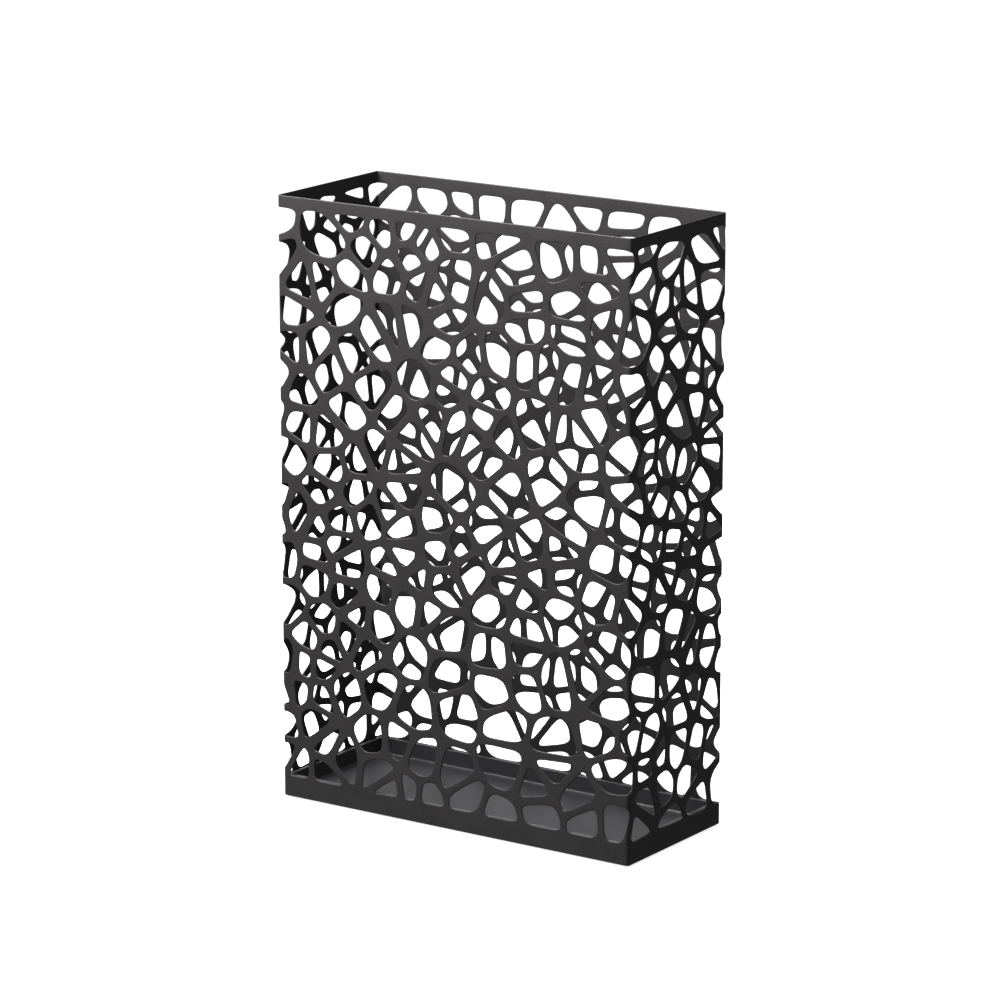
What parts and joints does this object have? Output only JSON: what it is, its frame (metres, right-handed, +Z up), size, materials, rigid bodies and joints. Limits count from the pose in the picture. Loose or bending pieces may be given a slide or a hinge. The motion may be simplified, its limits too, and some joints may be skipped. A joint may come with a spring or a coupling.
{
  "type": "umbrella stand",
  "caption": "Tall slim rectangular umbrella stand: a thin steel sleeve perforated with an irregular web, closed by a folded pan, with a lift-out drip tray and rubber foot pads.",
  "frame": {"origin": "on the floor, under the middle of the stand", "axes": "+Z up along the sleeve's height, +X along its long side, the long front wall faces -Y"},
  "size_m": [0.28, 0.114, 0.416],
  "materials": {
    "black_powder_coat": "satin black powder coat with a very fine texture",
    "pan_powder_coat": "satin black powder coat",
    "tray_plastic": "satin charcoal moulded plastic",
    "pad_rubber": "matt black rubber"
  },
  "bodies": {
    "stand": {"sleeve": "black_powder_coat", "base_pan": "pan_powder_coat", "foot_pad_front_left": "pad_rubber", "foot_pad_front_right": "pad_rubber", "foot_pad_rear_left": "pad_rubber", "foot_pad_rear_right": "pad_rubber"},
    "tray": {"drip_tray": "tray_plastic"}
  },
  "joints": [
    {"name": "tray_lift", "type": "slide", "parent": "stand", "child": "tray", "axis": [0, 0, 1], "range_m": [0, 0.43]}
  ]
}
